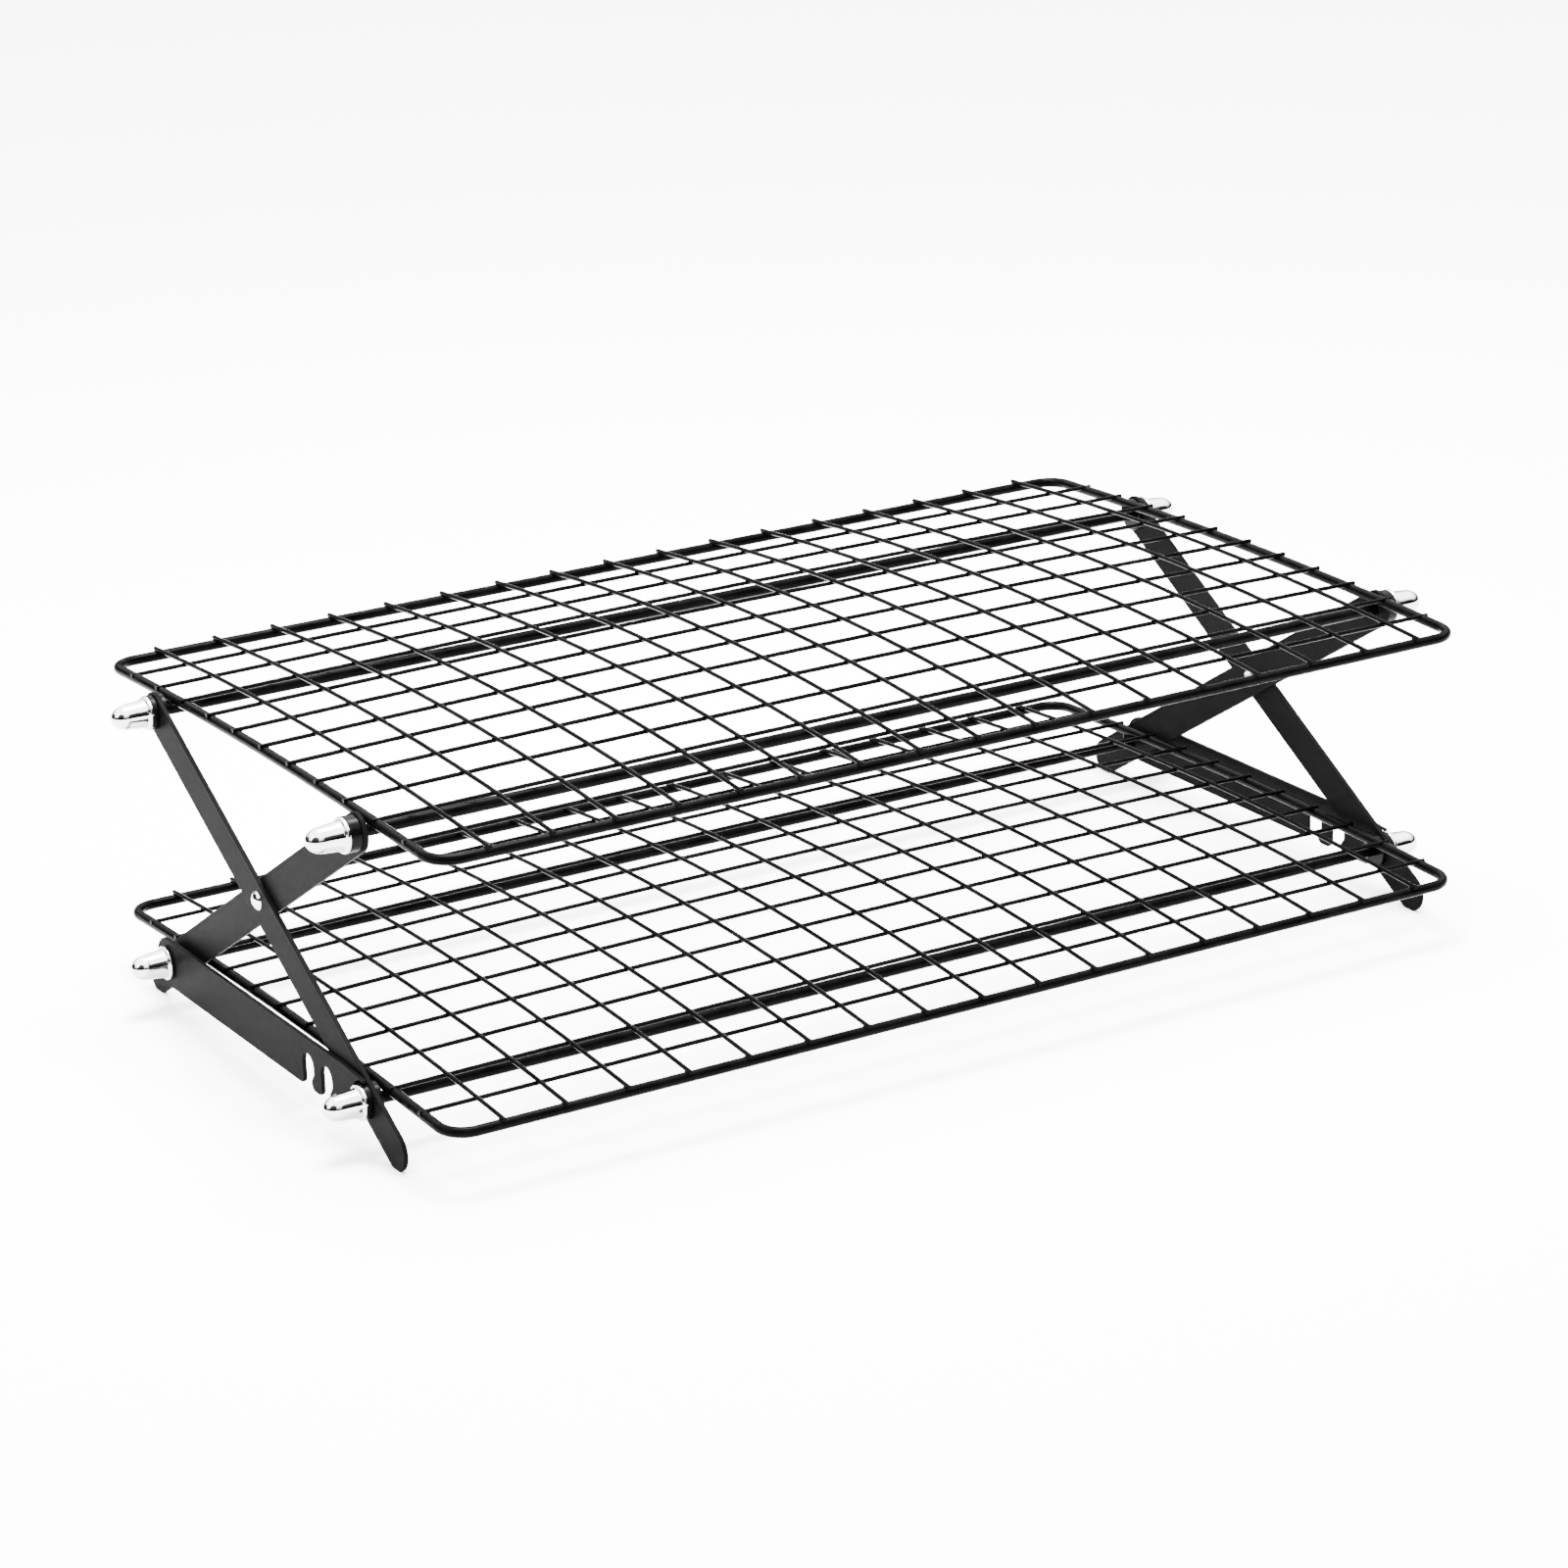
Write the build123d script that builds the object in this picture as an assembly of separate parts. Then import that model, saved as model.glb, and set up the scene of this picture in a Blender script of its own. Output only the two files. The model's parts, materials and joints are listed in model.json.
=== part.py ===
from build123d import *
from math import asin, atan2, cos, degrees, hypot, sin, sqrt
import os

os.makedirs("parts", exist_ok=True)

# A two-tier folding cooling rack. Millimetres. X runs along the rack, Y from front to back, Z up.
# The origin is on the table, under the middle of the rack.

# Shelves: a closed frame wire that carries two crossed layers of thin wire, arched like a shallow vault.
SHELF_HALF_LENGTH = 220.0
SHELF_HALF_WIDTH = 138.9
SHELF_SPACING = 101.2
FRAME_R = 2.0
FRAME_CORNER_R = 10.0
FRAME_Z = 22.8
SIDE_RISE = 3.2
MESH_R = 0.85
CROSS_COUNT = 17
CROSS_PITCH = 25.0
LONG_COUNT = 11
LONG_PITCH = 23.18
LONG_SHIFT = -1.9
WELD_SINK = 0.3
LAYER_SINK = 0.15
CROWN_AT_SIDES = 4.3
CROWN_AT_MIDDLE = 6.9

# Rods: four threaded cross rods, one at each end of each pair of legs.
ROD_R = 2.3
ROD_Y = 84.5
ROD_Z = 19.3
ROD_HALF_LENGTH = 236.5
FIT_GAP = 0.05

# Distances from the middle of the rack to each layer of flat parts at its ends.
INNER_LEG_X = 222.4
OUTER_LEG_X = 224.5
BAR_X = 226.6
NUT_X = 228.5
FACE_GAP = 0.3

# Legs: flat bars with full round ends, crossed in a scissor on one rivet.
LEG_T = 1.8
LEG_R = 7.5
FOOT_REACH = 24.1
EDGE_R = 0.3
RIVET_R = 2.0
RIVET_HEAD_R = 3.75
RIVET_HEAD_T = 1.8
RIVET_FLARE_R = 2.9
RIVET_FLARE_T = 0.8

# Height bars: each turns on the rear lower rod and rests over the spacer on the front lower rod.
BAR_T = 1.6
BAR_R = 9.8
BAR_TIP_Y = -86.3
BAR_SLOPE_Y = -70.0
BAR_TIP_DROP = 1.2
SEAT_R = 7.8
NOTCH_REAR_Y = (-35.4, -50.8)
NOTCH_WIDTH = 8.9
NOTCH_MOUTH = 6.5
NOTCH_DEPTH = 13.45
NOTCH_TOP_R = 4.4
NOTCH_LIP_R = 1.6
TAB_R = 2.9

# Dome nuts and spacers.
NUT_FLANGE_R = 6.7
NUT_FLANGE_T = 1.5
NUT_BODY_R = 5.6
NUT_SHOULDER_R = 4.9
NUT_LENGTH = 15.0
NUT_SHANK = 7.2
NUT_BORE_DEPTH = 9.0
SPACER_R = 6.7
WELD_R = 1.8

LEG_ANGLE = degrees(atan2(SHELF_SPACING, 2 * ROD_Y))
ROD_TO_ROD = hypot(SHELF_SPACING, 2 * ROD_Y)
CROSSING_Z = ROD_Z + SHELF_SPACING / 2


def save(name, *solids):
    """Write one node: a single solid, or a group of alike ones."""
    shape = solids[0] if len(solids) == 1 else Compound(children=list(solids))
    export_step(shape, f"parts/{name}.step")


def both_ends(solid):
    """The piece at the right end and its mirror image at the left end."""
    return solid, mirror(solid, about=Plane.YZ)


def solid_of(shape):
    return shape.solids()[0]


def round_wire(path, radius):
    """A round wire along one straight or arched edge."""
    section = Plane(origin=path @ 0, z_dir=path % 0) * Circle(radius)
    return solid_of(sweep(section, path=path))


def side_bend():
    """Angle of the side wires at their corners, so that corner and arch together rise SIDE_RISE."""
    angle = 2 * SIDE_RISE / SHELF_HALF_WIDTH
    for _ in range(20):
        chord = SHELF_HALF_WIDTH - FRAME_CORNER_R * cos(angle)
        arch = chord * (1 - cos(angle)) / sin(angle)
        angle *= SIDE_RISE / (FRAME_CORNER_R * sin(angle) + arch)
    return angle


def frame_wire(lift):
    """The closed frame loop: straight front and back, arched sides, tangent corner arcs."""
    bend = side_bend()
    low = FRAME_Z + lift
    straight = SHELF_HALF_LENGTH - FRAME_CORNER_R
    bend_y = SHELF_HALF_WIDTH - FRAME_CORNER_R * cos(bend)
    bend_z = low + FRAME_CORNER_R * sin(bend)
    diagonal = FRAME_CORNER_R * (1 - sqrt(0.5))
    corner_x = SHELF_HALF_LENGTH - diagonal
    corner_y = SHELF_HALF_WIDTH - diagonal * cos(bend)
    corner_z = low + diagonal * sin(bend)
    edges = []
    for front in (-1, 1):
        edge_y = front * SHELF_HALF_WIDTH
        edges.append(Line((-straight, edge_y, low), (straight, edge_y, low)))
        for end in (-1, 1):
            start = (end * straight, edge_y, low)
            middle = (end * corner_x, front * corner_y, corner_z)
            finish = (end * SHELF_HALF_LENGTH, front * bend_y, bend_z)
            edges.append(ThreePointArc(start, middle, finish))
    for end in (-1, 1):
        side_x = end * SHELF_HALF_LENGTH
        crest = (side_x, 0, low + SIDE_RISE)
        edges.append(ThreePointArc((side_x, -bend_y, bend_z), crest, (side_x, bend_y, bend_z)))
    first, *others = [round_wire(edge, FRAME_R) for edge in edges]
    return solid_of(first.fuse(*others))


def mesh_height(x, y):
    """Height of the cross wires' centre line over the lower shelf."""
    rest = FRAME_Z + FRAME_R + MESH_R - WELD_SINK
    crown = CROWN_AT_MIDDLE - (CROWN_AT_MIDDLE - CROWN_AT_SIDES) * (x / SHELF_HALF_LENGTH) ** 2
    return rest + crown * (1 - (y / SHELF_HALF_WIDTH) ** 2)


def cross_wires(lift):
    """The top layer, from front to back, ending over the outside of the frame wire."""
    end_y = SHELF_HALF_WIDTH + FRAME_R
    wires = []
    for i in range(CROSS_COUNT):
        x = (i - (CROSS_COUNT - 1) / 2) * CROSS_PITCH
        low = mesh_height(x, end_y) + lift
        top = mesh_height(x, 0) + lift
        arc = ThreePointArc((x, -end_y, low), (x, 0, top), (x, end_y, low))
        wires.append(round_wire(arc, MESH_R))
    return wires


def long_wires(lift):
    """The lower layer, from end to end, welded under the cross wires and over the side wires."""
    end_x = SHELF_HALF_LENGTH + FRAME_R
    drop = 2 * MESH_R - LAYER_SINK
    wires = []
    for j in range(LONG_COUNT):
        y = (j - (LONG_COUNT - 1) / 2) * LONG_PITCH + LONG_SHIFT
        low = mesh_height(end_x, y) - drop + lift
        top = mesh_height(0, y) - drop + lift
        arc = ThreePointArc((-end_x, y, low), (0, y, top), (end_x, y, low))
        wires.append(round_wire(arc, MESH_R))
    return wires


def turned(radius, near_x, far_x, y, z):
    """A round piece about a rod's axis, from near_x to far_x."""
    disc = Pos(near_x, y, z) * Rot(0, 90, 0) * Cylinder(
        radius, far_x - near_x, align=(Align.CENTER, Align.CENTER, Align.MIN)
    )
    return solid_of(disc)


def rod(y, z):
    """One cross rod with chamfered ends."""
    bar = turned(ROD_R, -ROD_HALF_LENGTH, ROD_HALF_LENGTH, y, z)
    return chamfer(bar.edges().filter_by(GeomType.CIRCLE), 0.5)


def ring(radius, near_x, far_x, y, z):
    """A spacer or washer with softened rims, bored to fit a rod."""
    body = turned(radius, near_x, far_x, y, z)
    body = fillet(body.edges().filter_by(GeomType.CIRCLE), EDGE_R)
    return solid_of(body - turned(ROD_R + FIT_GAP, near_x, far_x, y, z))


def dome_nut(y, z):
    """A flanged dome nut: thin flange, slightly tapered body, blunt round cap, blind bore."""
    base = NUT_X + NUT_FLANGE_T
    shoulder = base + NUT_SHANK
    tip = NUT_X + NUT_LENGTH
    dome = EllipticalCenterArc(
        (shoulder, 0), tip - shoulder, NUT_SHOULDER_R, start_angle=0, arc_size=90
    )
    outline = Polyline(
        (shoulder, NUT_SHOULDER_R), (base, NUT_BODY_R), (base, NUT_FLANGE_R),
        (NUT_X, NUT_FLANGE_R), (NUT_X, 0), (tip, 0),
    )
    profile = Plane.XY * make_face(Wire([dome, *outline.edges()]))
    body = revolve(profile, axis=Axis.X, revolution_arc=360)
    rims = [e for e in body.edges().filter_by(GeomType.CIRCLE) if e.radius > NUT_BODY_R + 0.1]
    body = fillet(rims, 0.5)
    waist = [
        e for e in body.edges().filter_by(GeomType.CIRCLE)
        if abs(e.radius - NUT_BODY_R) < 0.01 and abs(e.center().X - base) < 0.01
    ]
    body = fillet(waist, 0.7)
    body = body - turned(ROD_R + FIT_GAP, NUT_X, NUT_X + NUT_BORE_DEPTH, 0, 0)
    return solid_of(Pos(0, y, z) * body)


def plate(outline, near_x, thickness):
    """A flat part in a layer beside the shelves, with softened edges."""
    layer = Plane(origin=(near_x, 0, 0), x_dir=(0, 1, 0), z_dir=(1, 0, 0))
    body = extrude(layer * outline, thickness)
    rims = body.edges().filter_by(Axis.X, reverse=True)
    return fillet(rims, EDGE_R)


def leg(near_x, foot_side, crossing_hole_r):
    """A leg from its upper rod, over the crossing, through its lower rod to its rounded foot."""
    turn = LEG_ANGLE if foot_side < 0 else 180 - LEG_ANGLE
    middle = Pos(foot_side * ROD_Y, ROD_Z) * Rot(0, 0, turn) * Pos((ROD_TO_ROD - FOOT_REACH) / 2, 0)
    outline = middle * SlotCenterToCenter(ROD_TO_ROD + FOOT_REACH, 2 * LEG_R)
    body = plate(outline, near_x, LEG_T)
    far_x = near_x + LEG_T
    holes = (
        (ROD_R + FIT_GAP, foot_side * ROD_Y, ROD_Z),
        (ROD_R + FIT_GAP, -foot_side * ROD_Y, ROD_Z + SHELF_SPACING),
        (crossing_hole_r, 0, CROSSING_Z),
    )
    for radius, y, z in holes:
        body = body - turned(radius, near_x, far_x, y, z)
    below = Pos(near_x, foot_side * ROD_Y, -LEG_R) * Box(8 * LEG_T, 8 * LEG_R, 2 * LEG_R)
    return body - below


def outer_leg():
    return solid_of(leg(OUTER_LEG_X, -1, RIVET_R + FIT_GAP))


def inner_leg():
    """The inner leg, countersunk on its inner face for the rivet's flush end."""
    cone = Cone(RIVET_FLARE_R, RIVET_R, RIVET_FLARE_T, align=(Align.CENTER, Align.CENTER, Align.MIN))
    flare = Pos(INNER_LEG_X, 0, CROSSING_Z) * Rot(0, 90, 0) * cone
    return solid_of(leg(INNER_LEG_X, 1, RIVET_R) - flare)


def pivot_rivet():
    """The rivet that both legs cross on: flush inside, domed outside."""
    head_x = OUTER_LEG_X + LEG_T + 0.1
    crest_x = head_x + RIVET_HEAD_T
    dome_r = (RIVET_HEAD_R**2 + RIVET_HEAD_T**2) / (2 * RIVET_HEAD_T)
    rise = asin(RIVET_HEAD_R / dome_r) / 2
    middle = (crest_x - dome_r * (1 - cos(rise)), dome_r * sin(rise))
    dome = ThreePointArc((head_x, RIVET_HEAD_R), middle, (crest_x, 0))
    outline = Polyline(
        (crest_x, 0), (INNER_LEG_X, 0), (INNER_LEG_X, RIVET_FLARE_R),
        (INNER_LEG_X + RIVET_FLARE_T, RIVET_R), (head_x, RIVET_R), (head_x, RIVET_HEAD_R),
    )
    body = revolve(make_face(Wire([dome, *outline.edges()])), axis=Axis.X, revolution_arc=360)
    return solid_of(Pos(0, 0, CROSSING_Z) * body)


def notch(rear_y):
    """One hook notch, open at the bottom, wider inside than at its mouth."""
    floor_z = ROD_Z - BAR_R
    front_y = rear_y - NOTCH_WIDTH
    mouth_y = rear_y - NOTCH_MOUTH
    top_z = floor_z + NOTCH_DEPTH
    lip_z = floor_z + NOTCH_MOUTH
    corners = (
        (rear_y, floor_z - 1), (rear_y, top_z), (front_y, top_z),
        (front_y, lip_z), (mouth_y, lip_z - 3), (mouth_y, floor_z - 1),
    )
    outline = make_face(Polyline(*corners, close=True))
    tops = [v for v in outline.vertices() if abs(v.Y - top_z) < 0.01]
    outline = fillet(tops, NOTCH_TOP_R)
    lips = [v for v in outline.vertices() if lip_z - 3.1 < v.Y < lip_z + 0.1 and v.X < rear_y - 1]
    return fillet(lips, NOTCH_LIP_R)


def height_bar():
    """A side bar: round rear end on its rod, two notches, and an open seat at its front tip."""
    top_z = ROD_Z + BAR_R
    floor_z = ROD_Z - BAR_R
    wall_y = -ROD_Y + SEAT_R
    tip_in = ROD_Z + sqrt(SEAT_R**2 - (BAR_TIP_Y + ROD_Y) ** 2)
    crown = ROD_Z + SEAT_R * sin(asin(1) / 2)
    seat = ThreePointArc(
        (wall_y, ROD_Z), (-ROD_Y + SEAT_R * cos(asin(1) / 2), crown), (BAR_TIP_Y, tip_in)
    )
    front = Polyline(
        (BAR_TIP_Y, tip_in), (BAR_TIP_Y, top_z - BAR_TIP_DROP), (BAR_SLOPE_Y, top_z), (ROD_Y, top_z)
    )
    rear = ThreePointArc((ROD_Y, top_z), (ROD_Y + BAR_R, ROD_Z), (ROD_Y, floor_z))
    base = Polyline((ROD_Y, floor_z), (wall_y, floor_z), (wall_y, ROD_Z))
    outline = make_face(Wire([seat, *front.edges(), rear, *base.edges()]))
    for rear_y in NOTCH_REAR_Y:
        outline = outline - notch(rear_y)
    feet = [v for v in outline.vertices() if abs(v.Y - floor_z) < 0.01 and v.X < ROD_Y - 1]
    outline = fillet(feet, TAB_R)
    body = plate(outline, BAR_X, BAR_T)
    return solid_of(body - turned(ROD_R + FIT_GAP, BAR_X, BAR_X + BAR_T, ROD_Y, ROD_Z))


def rod_weld(lift):
    """The bead that joins a rear rod to the side wire above it."""
    wire_z = FRAME_Z + SIDE_RISE * (1 - (ROD_Y / SHELF_HALF_WIDTH) ** 2) + lift
    rod_z = ROD_Z + lift
    bead = Pos(SHELF_HALF_LENGTH, ROD_Y, (wire_z + rod_z) / 2) * Cylinder(WELD_R, wire_z - rod_z - 1)
    return solid_of(bead)


def spacer_sets():
    """Rings on each rod's right end, layer by layer outwards."""
    inner_far = INNER_LEG_X + LEG_T
    outer_far = OUTER_LEG_X + LEG_T
    low, high = ROD_Z, ROD_Z + SHELF_SPACING
    return {
        "lower_rear_spacers": [ring(SPACER_R, OUTER_LEG_X, outer_far, ROD_Y, low)],
        "lower_front_spacers": [
            ring(SPACER_R, INNER_LEG_X, OUTER_LEG_X, -ROD_Y, low),
            ring(SPACER_R, outer_far, NUT_X, -ROD_Y, low),
        ],
        "upper_rear_spacers": [
            ring(SPACER_R, INNER_LEG_X, inner_far, ROD_Y, high),
            ring(SPACER_R, outer_far + FACE_GAP, NUT_X, ROD_Y, high),
        ],
        "upper_front_spacers": [ring(SPACER_R, inner_far, NUT_X, -ROD_Y, high)],
    }


def main():
    for tier, lift in (("lower", 0), ("upper", SHELF_SPACING)):
        save(f"{tier}_frame_wire", frame_wire(lift))
        save(f"{tier}_cross_wires", *cross_wires(lift))
        save(f"{tier}_long_wires", *long_wires(lift))
        save(f"{tier}_rod_welds", *both_ends(rod_weld(lift)))
        for place, y in (("front", -ROD_Y), ("rear", ROD_Y)):
            save(f"{tier}_{place}_rod", rod(y, ROD_Z + lift))
            save(f"{tier}_{place}_nuts", *both_ends(dome_nut(y, ROD_Z + lift)))
    for name, rings in spacer_sets().items():
        save(name, *[piece for one in rings for piece in both_ends(one)])
    pairs = (
        ("outer_leg", outer_leg()),
        ("inner_leg", inner_leg()),
        ("pivot_rivet", pivot_rivet()),
        ("height_bar", height_bar()),
    )
    for name, piece in pairs:
        right, left = both_ends(piece)
        save(f"right_{name}", right)
        save(f"left_{name}", left)


main()
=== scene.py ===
import json
import math

import bmesh
import bpy
from mathutils import Matrix, Vector


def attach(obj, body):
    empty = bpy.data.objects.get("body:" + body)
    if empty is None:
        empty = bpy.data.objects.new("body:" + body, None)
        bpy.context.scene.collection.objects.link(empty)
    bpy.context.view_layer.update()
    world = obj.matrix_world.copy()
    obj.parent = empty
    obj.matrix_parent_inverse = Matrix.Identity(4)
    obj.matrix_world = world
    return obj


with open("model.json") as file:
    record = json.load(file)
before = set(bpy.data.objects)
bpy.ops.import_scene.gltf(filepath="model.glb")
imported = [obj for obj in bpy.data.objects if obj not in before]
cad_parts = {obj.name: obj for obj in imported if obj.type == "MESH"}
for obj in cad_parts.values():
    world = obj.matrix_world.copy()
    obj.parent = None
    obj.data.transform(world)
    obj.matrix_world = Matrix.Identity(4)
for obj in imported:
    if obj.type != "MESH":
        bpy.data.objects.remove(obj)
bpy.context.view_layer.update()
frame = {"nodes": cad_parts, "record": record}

MM = 0.001

# The camera, in metres and degrees: where it stands, and where it looks.
CAMERA_AT = Vector((-0.9019, -1.5464, 0.6866))
CAMERA_AZIMUTH = 30.24
CAMERA_ELEVATION = -19.03
CAMERA_ROLL = -1.9
CAMERA_LENS = 111.5
CAMERA_SENSOR = 36.0
CAMERA_CLIP_END = 100.0

FLOOR_HALF = 12.0

# The lights: name, place and size in metres, and watts. All of them face LIGHTS_AIM.
LIGHTS_AIM = (0.0, 0.0, 0.07)
LIGHTS = (
    ("overhead", (0.05, 0.15, 1.3), (0.7, 0.5), 165.0),
    ("left", (-1.5, -0.2, 1.1), (0.5, 0.9), 12.0),
    ("back", (0.5, 1.9, 1.4), (1.8, 0.9), 20.0),
)

# The room: dark near the horizon, bright overhead. Heights are the sine of the elevation.
ROOM_STRENGTH = 5.3
LOW_HEIGHT, HIGH_HEIGHT = 0.22, 0.7
LOW_SHADE, HIGH_SHADE = 0.006, 2.0

# Dark stretches of the room, which the chrome reflects: direction, and cosines of inner and outer edge.
DARK_WALL_SHADE = 0.02
DARK_WALLS = (
    ((0.48, -0.86, 0.3), 0.93, 0.89),
    ((-0.72, -0.65, 0.45), 0.92, 0.88),
    ((-0.78, 0.55, 0.2), 0.95, 0.92),
)

# The middle of a noise texture's output, where most of it lies.
NOISE_LOW, NOISE_HIGH = 0.3, 0.7

# Weld nuggets, in metres. STRETCH lengthens a nugget along its wire, and LUMP is its unevenness.
FRAME_R = 2.0 * MM
NUGGET_HALF = (1.25 * MM, 1.25 * MM, 0.75 * MM)
NUGGET_STRETCH = 1.5
NUGGET_DROP = 0.7 * MM
NUGGET_LUMP = 0.08
NUGGET_SMOOTHNESS = 3
END_FACE_DEPTH = 0.3 * MM
MERGE_DISTANCE = 1e-6

X_AXIS, Y_AXIS = 0, 1


def look_direction():
    azimuth, elevation = math.radians(CAMERA_AZIMUTH), math.radians(CAMERA_ELEVATION)
    level = math.cos(elevation)
    return Vector((math.sin(azimuth) * level, math.cos(azimuth) * level, math.sin(elevation)))


def add_camera():
    data = bpy.data.cameras.new("camera")
    data.lens = CAMERA_LENS
    data.sensor_width = CAMERA_SENSOR
    data.clip_end = CAMERA_CLIP_END
    camera = bpy.data.objects.new("camera", data)
    bpy.context.scene.collection.objects.link(camera)
    aim = look_direction().to_track_quat("-Z", "Y").to_matrix().to_4x4()
    roll = Matrix.Rotation(math.radians(CAMERA_ROLL), 4, "Z")
    camera.matrix_world = Matrix.Translation(CAMERA_AT) @ aim @ roll
    bpy.context.scene.camera = camera


class Nodes:
    """A short way to write a material's or the world's nodes."""

    def __init__(self, tree):
        self.tree = tree

    def put(self, socket, value):
        if isinstance(value, bpy.types.NodeSocket):
            self.tree.links.new(value, socket)
        else:
            socket.default_value = value

    def add(self, kind, **inputs):
        node = self.tree.nodes.new(kind)
        for name, value in inputs.items():
            self.put(node.inputs[name.replace("_", " ")], value)
        return node

    def noise(self, place, scale, detail):
        return self.add("ShaderNodeTexNoise", Scale=scale, Detail=detail, Vector=place).outputs["Fac"]

    def remap(self, value, old, new):
        """Maps the range old to the range new, clamped at both ends."""
        node = self.add(
            "ShaderNodeMapRange", Value=value,
            From_Min=old[0], From_Max=old[1], To_Min=new[0], To_Max=new[1],
        )
        return node.outputs["Result"]

    def spread(self, noise, low, high):
        return self.remap(noise, (NOISE_LOW, NOISE_HIGH), (low, high))

    def combine(self, operation, first, second):
        node = self.add("ShaderNodeMath")
        node.operation = operation
        self.put(node.inputs[0], first)
        self.put(node.inputs[1], second)
        return node.outputs["Value"]

    def ramp(self, value, start, end):
        """A colour ramp between two stops, each a position and a colour."""
        node = self.add("ShaderNodeValToRGB", Fac=value)
        for element, (position, color) in zip(node.color_ramp.elements, (start, end)):
            element.position = position
            element.color = (*color, 1)
        return node.outputs["Color"]

    def bump(self, height, strength, distance, under=None):
        node = self.add("ShaderNodeBump", Height=height, Strength=strength, Distance=distance)
        if under is not None:
            self.put(node.inputs["Normal"], under)
        return node.outputs["Normal"]


def grey(level):
    return (level, level, level)


def new_material(name):
    material = bpy.data.materials.new(name)
    material.use_nodes = True
    tree = material.node_tree
    nodes = Nodes(tree)
    shader = tree.nodes["Principled BSDF"]
    place = nodes.add("ShaderNodeTexCoord").outputs["Object"]
    return material, nodes, shader, place


def wire_coating():
    """Gloss black dip coating: slow drips along the wire, fine orange peel, faint dust-dull patches."""
    material, nodes, shader, place = new_material("gloss_black_coating")
    patches = nodes.noise(place, scale=90.0, detail=4.0)
    peel = nodes.noise(place, scale=1600.0, detail=2.0)
    waves = nodes.noise(place, scale=260.0, detail=1.0)
    tone = nodes.ramp(patches, start=(0.35, grey(0.0004)), end=(0.7, grey(0.0012)))
    nodes.put(shader.inputs["Base Color"], tone)
    nodes.put(shader.inputs["Roughness"], nodes.spread(patches, low=0.16, high=0.34))
    shader.inputs["IOR"].default_value = 1.12
    shader.inputs["Specular IOR Level"].default_value = 0.12
    wavy = nodes.bump(waves, strength=0.1, distance=0.4 * MM)
    peeled = nodes.bump(peel, strength=0.04, distance=0.1 * MM, under=wavy)
    nodes.put(shader.inputs["Normal"], peeled)
    return material


def plate_coating():
    """Satin black powder coat on flat bar: even fine grain, slight cloudiness, a little rubbed."""
    material, nodes, shader, place = new_material("satin_black_powder_coat")
    clouds = nodes.noise(place, scale=28.0, detail=5.0)
    grain = nodes.noise(place, scale=2600.0, detail=3.0)
    rubs = nodes.noise(place, scale=420.0, detail=6.0)
    darker, lighter = (0.0018, 0.0018, 0.0019), (0.0032, 0.0032, 0.0034)
    nodes.put(shader.inputs["Base Color"], nodes.ramp(clouds, start=(0.3, darker), end=(0.7, lighter)))
    cloudy = nodes.spread(clouds, low=0.30, high=0.40)
    rubbed = nodes.spread(rubs, low=-0.04, high=0.05)
    nodes.put(shader.inputs["Roughness"], nodes.combine("ADD", cloudy, rubbed))
    shader.inputs["IOR"].default_value = 1.1
    shader.inputs["Specular IOR Level"].default_value = 0.05
    fine = nodes.bump(grain, strength=0.18, distance=0.08 * MM)
    nodes.put(shader.inputs["Normal"], nodes.bump(clouds, strength=0.1, distance=0.6 * MM, under=fine))
    return material


def chrome():
    """Bright nickel chrome: near-mirror, with faint smears and very slight polishing waves."""
    material, nodes, shader, place = new_material("polished_chrome")
    smears = nodes.noise(place, scale=240.0, detail=5.0)
    waves = nodes.noise(place, scale=180.0, detail=1.0)
    tone = nodes.ramp(smears, start=(0.3, (0.52, 0.52, 0.53)), end=(0.75, grey(0.66)))
    nodes.put(shader.inputs["Base Color"], tone)
    shader.inputs["Metallic"].default_value = 1.0
    nodes.put(shader.inputs["Roughness"], nodes.spread(smears, low=0.035, high=0.09))
    nodes.put(shader.inputs["Normal"], nodes.bump(waves, strength=0.06, distance=0.4 * MM))
    return material


def black_plastic():
    """Moulded black plastic of the spacers: smooth, with a faint mould texture."""
    material, nodes, shader, place = new_material("moulded_black_plastic")
    cloud = nodes.noise(place, scale=150.0, detail=3.0)
    grain = nodes.noise(place, scale=3200.0, detail=2.0)
    tone = nodes.ramp(cloud, start=(0.3, grey(0.0005)), end=(0.7, grey(0.0012)))
    nodes.put(shader.inputs["Base Color"], tone)
    nodes.put(shader.inputs["Roughness"], nodes.spread(cloud, low=0.2, high=0.32))
    shader.inputs["IOR"].default_value = 1.15
    shader.inputs["Specular IOR Level"].default_value = 0.2
    nodes.put(shader.inputs["Normal"], nodes.bump(grain, strength=0.1, distance=0.06 * MM))
    return material


def floor_paper():
    """White seamless paper with a barely visible tooth."""
    material, nodes, shader, place = new_material("white_seamless")
    tooth = nodes.noise(place, scale=900.0, detail=3.0)
    tone = nodes.ramp(tooth, start=(0.3, grey(0.985)), end=(0.7, grey(1.0)))
    nodes.put(shader.inputs["Base Color"], tone)
    shader.inputs["Roughness"].default_value = 0.9
    shader.inputs["Specular IOR Level"].default_value = 0.1
    return material


def dress_nodes():
    """Gives every CAD node the finish of its material slot."""
    finishes = {
        "coated_wire": wire_coating(),
        "coated_plate": plate_coating(),
        "chrome": chrome(),
        "black_plastic": black_plastic(),
    }
    for part in frame["record"]["subparts"]:
        node = frame["nodes"][part["node"]]
        node.data.materials.clear()
        node.data.materials.append(finishes[part["material_slot"]])
    return finishes


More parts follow.
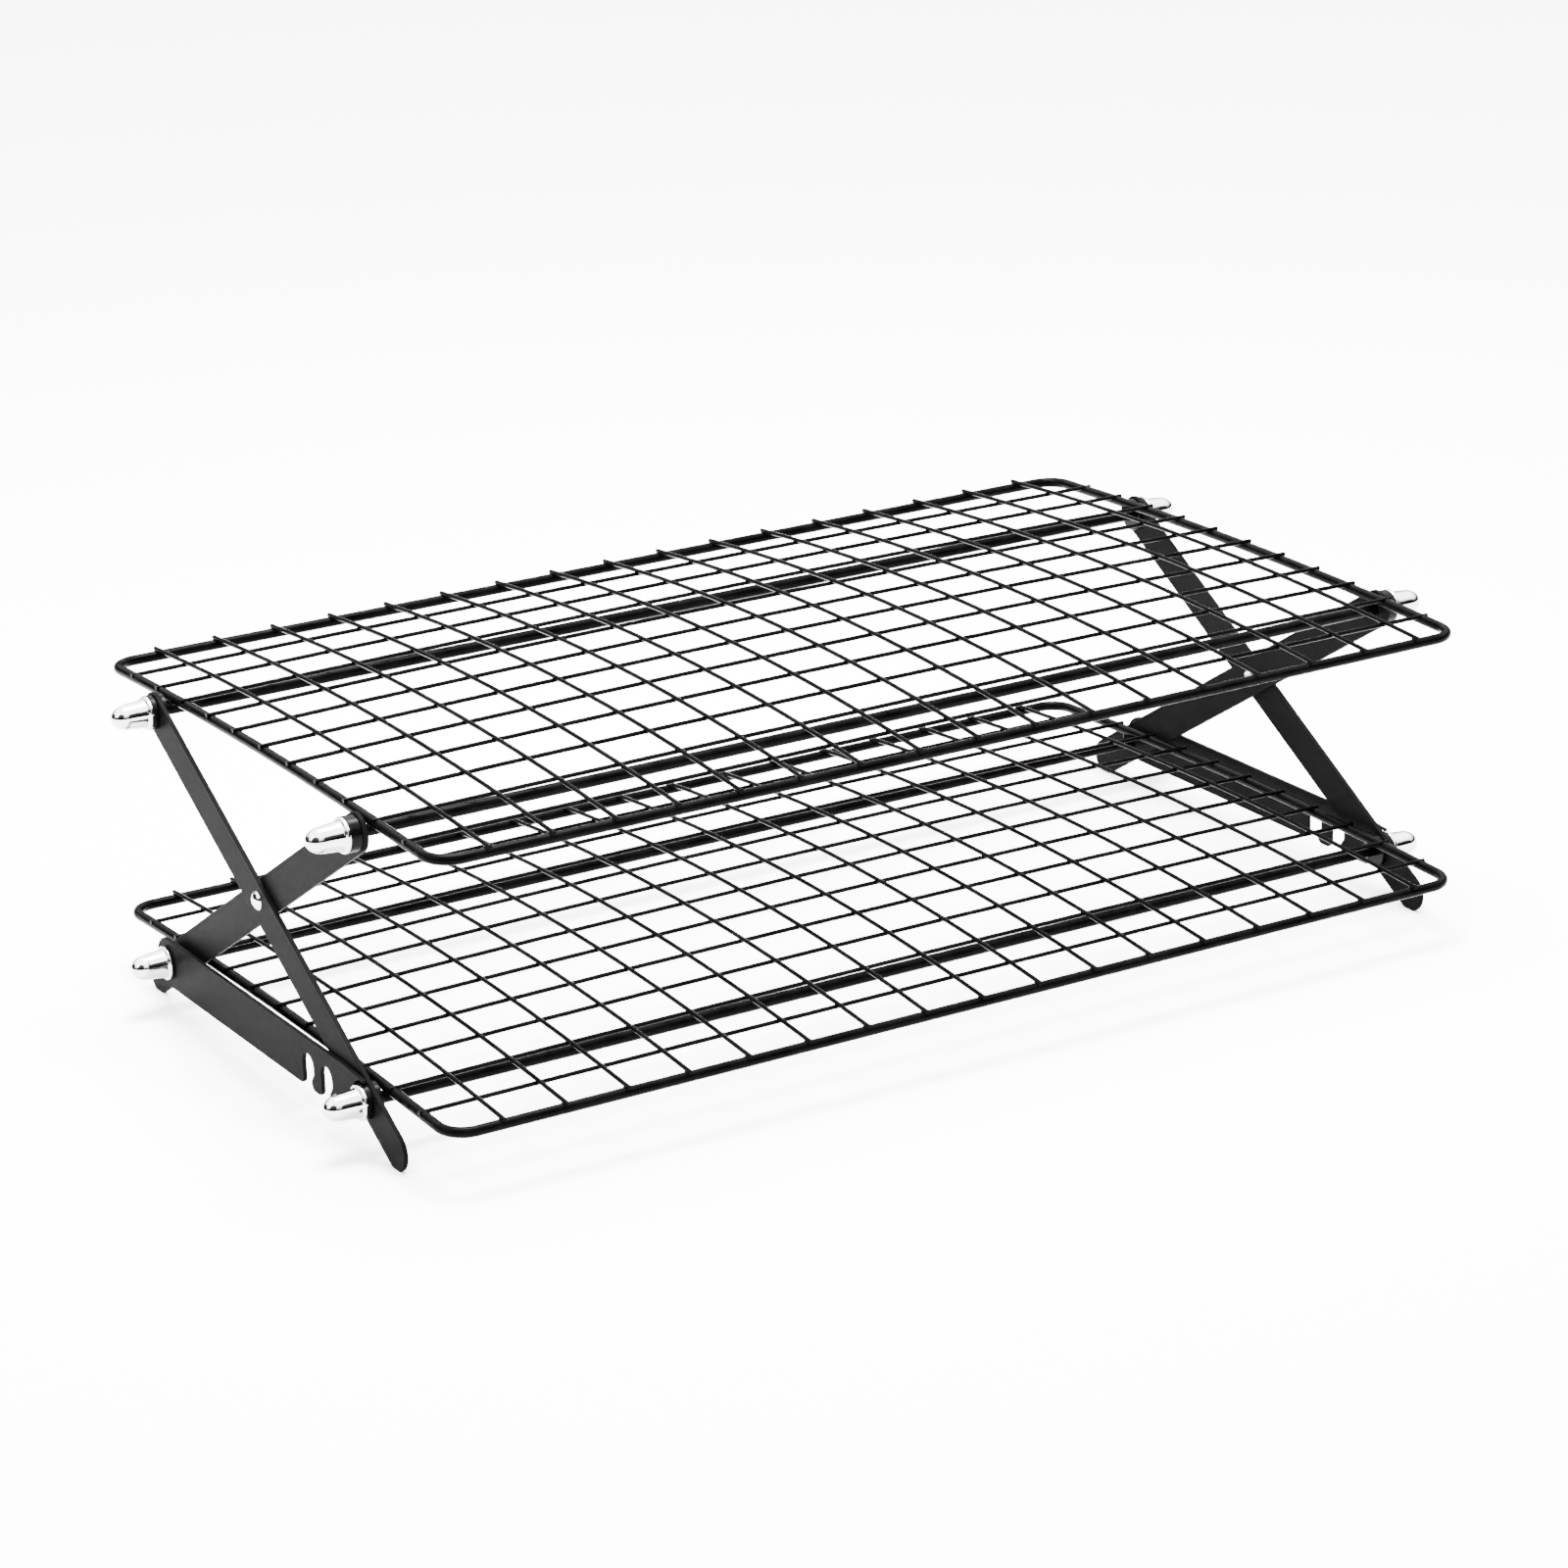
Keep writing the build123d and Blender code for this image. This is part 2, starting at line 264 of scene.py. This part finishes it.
def wire_points(node):
    """The separate wires of a node, each as its list of vertex positions."""
    mesh = bmesh.new()
    mesh.from_mesh(frame["nodes"][node].data)
    bmesh.ops.remove_doubles(mesh, verts=mesh.verts, dist=MERGE_DISTANCE)
    seen, wires = set(), []
    for start in mesh.verts:
        if start.index in seen:
            continue
        stack, wire = [start], []
        seen.add(start.index)
        while stack:
            vert = stack.pop()
            wire.append(vert.co.copy())
            for edge in vert.link_edges:
                other = edge.other_vert(vert)
                if other.index not in seen:
                    seen.add(other.index)
                    stack.append(other)
        wires.append(wire)
    mesh.free()
    return wires


def end_centres(wire, along):
    """The middle of each end face of a wire that runs along the given axis."""
    limits = (min(p[along] for p in wire), max(p[along] for p in wire))
    centres = []
    for limit in limits:
        rim = [p for p in wire if abs(p[along] - limit) < END_FACE_DEPTH]
        centres.append(sum(rim, Vector()) / len(rim))
    return centres


def add_nugget(mesh, at, along):
    """One weld nugget: a small flattened bead, longer along its wire."""
    half = Vector(NUGGET_HALF)
    half[along] *= NUGGET_STRETCH
    shape = Matrix.Translation(at) @ Matrix.Diagonal((*half, 1.0))
    made = bmesh.ops.create_icosphere(mesh, subdivisions=NUGGET_SMOOTHNESS, radius=1.0, matrix=shape)
    for vert in made["verts"]:
        lump = NUGGET_LUMP * math.sin(2300.0 * vert.co.x + 1.3) * math.sin(2100.0 * vert.co.y + 0.4)
        vert.co += (vert.co - Vector(at)) * lump


def weld_nuggets(tier, body, finish):
    """The resistance welds where each thin wire ends over the frame wire."""
    mesh = bmesh.new()
    for node, along in ((f"{tier}_cross_wires", Y_AXIS), (f"{tier}_long_wires", X_AXIS)):
        for wire in wire_points(node):
            for at in end_centres(wire, along):
                at[along] -= math.copysign(FRAME_R, at[along])
                at.z -= NUGGET_DROP
                add_nugget(mesh, at, along)
    data = bpy.data.meshes.new(f"{tier}_weld_nuggets")
    mesh.to_mesh(data)
    mesh.free()
    data.shade_smooth()
    data.materials.append(finish)
    piece = bpy.data.objects.new(f"{tier}_weld_nuggets", data)
    bpy.context.scene.collection.objects.link(piece)
    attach(piece, body)


def add_floor():
    mesh = bmesh.new()
    bmesh.ops.create_grid(mesh, x_segments=2, y_segments=2, size=FLOOR_HALF)
    data = bpy.data.meshes.new("floor")
    mesh.to_mesh(data)
    mesh.free()
    data.materials.append(floor_paper())
    floor = bpy.data.objects.new("floor", data)
    bpy.context.scene.collection.objects.link(floor)


def add_area(name, at, size, power):
    data = bpy.data.lights.new(name, "AREA")
    data.shape = "RECTANGLE"
    data.size, data.size_y = size
    data.energy = power
    light = bpy.data.objects.new(name, data)
    light.location = at
    light.rotation_euler = (Vector(LIGHTS_AIM) - Vector(at)).to_track_quat("-Z", "Y").to_euler()
    bpy.context.scene.collection.objects.link(light)


def add_world():
    """A bright room, dark near the horizon, with a few darker stretches of wall."""
    world = bpy.data.worlds.new("studio")
    bpy.context.scene.world = world
    world.use_nodes = True
    nodes = Nodes(world.node_tree)
    back = world.node_tree.nodes["Background"]
    direction = nodes.add("ShaderNodeTexCoord").outputs["Generated"]
    height = nodes.add("ShaderNodeSeparateXYZ", Vector=direction).outputs["Z"]
    shade = nodes.remap(height, (LOW_HEIGHT, HIGH_HEIGHT), (LOW_SHADE, HIGH_SHADE))
    for towards, inner, outer in DARK_WALLS:
        dot = nodes.add("ShaderNodeVectorMath")
        dot.operation = "DOT_PRODUCT"
        nodes.put(dot.inputs[0], direction)
        nodes.put(dot.inputs[1], Vector(towards).normalized())
        wall = nodes.remap(dot.outputs["Value"], (outer, inner), (1.0, DARK_WALL_SHADE))
        shade = nodes.combine("MULTIPLY", shade, wall)
    nodes.put(back.inputs["Color"], shade)
    back.inputs["Strength"].default_value = ROOM_STRENGTH


add_camera()
finishes = dress_nodes()
weld_nuggets("lower", "lower_shelf", finishes["coated_wire"])
weld_nuggets("upper", "upper_shelf", finishes["coated_wire"])
add_floor()
for light in LIGHTS:
    add_area(*light)
add_world()
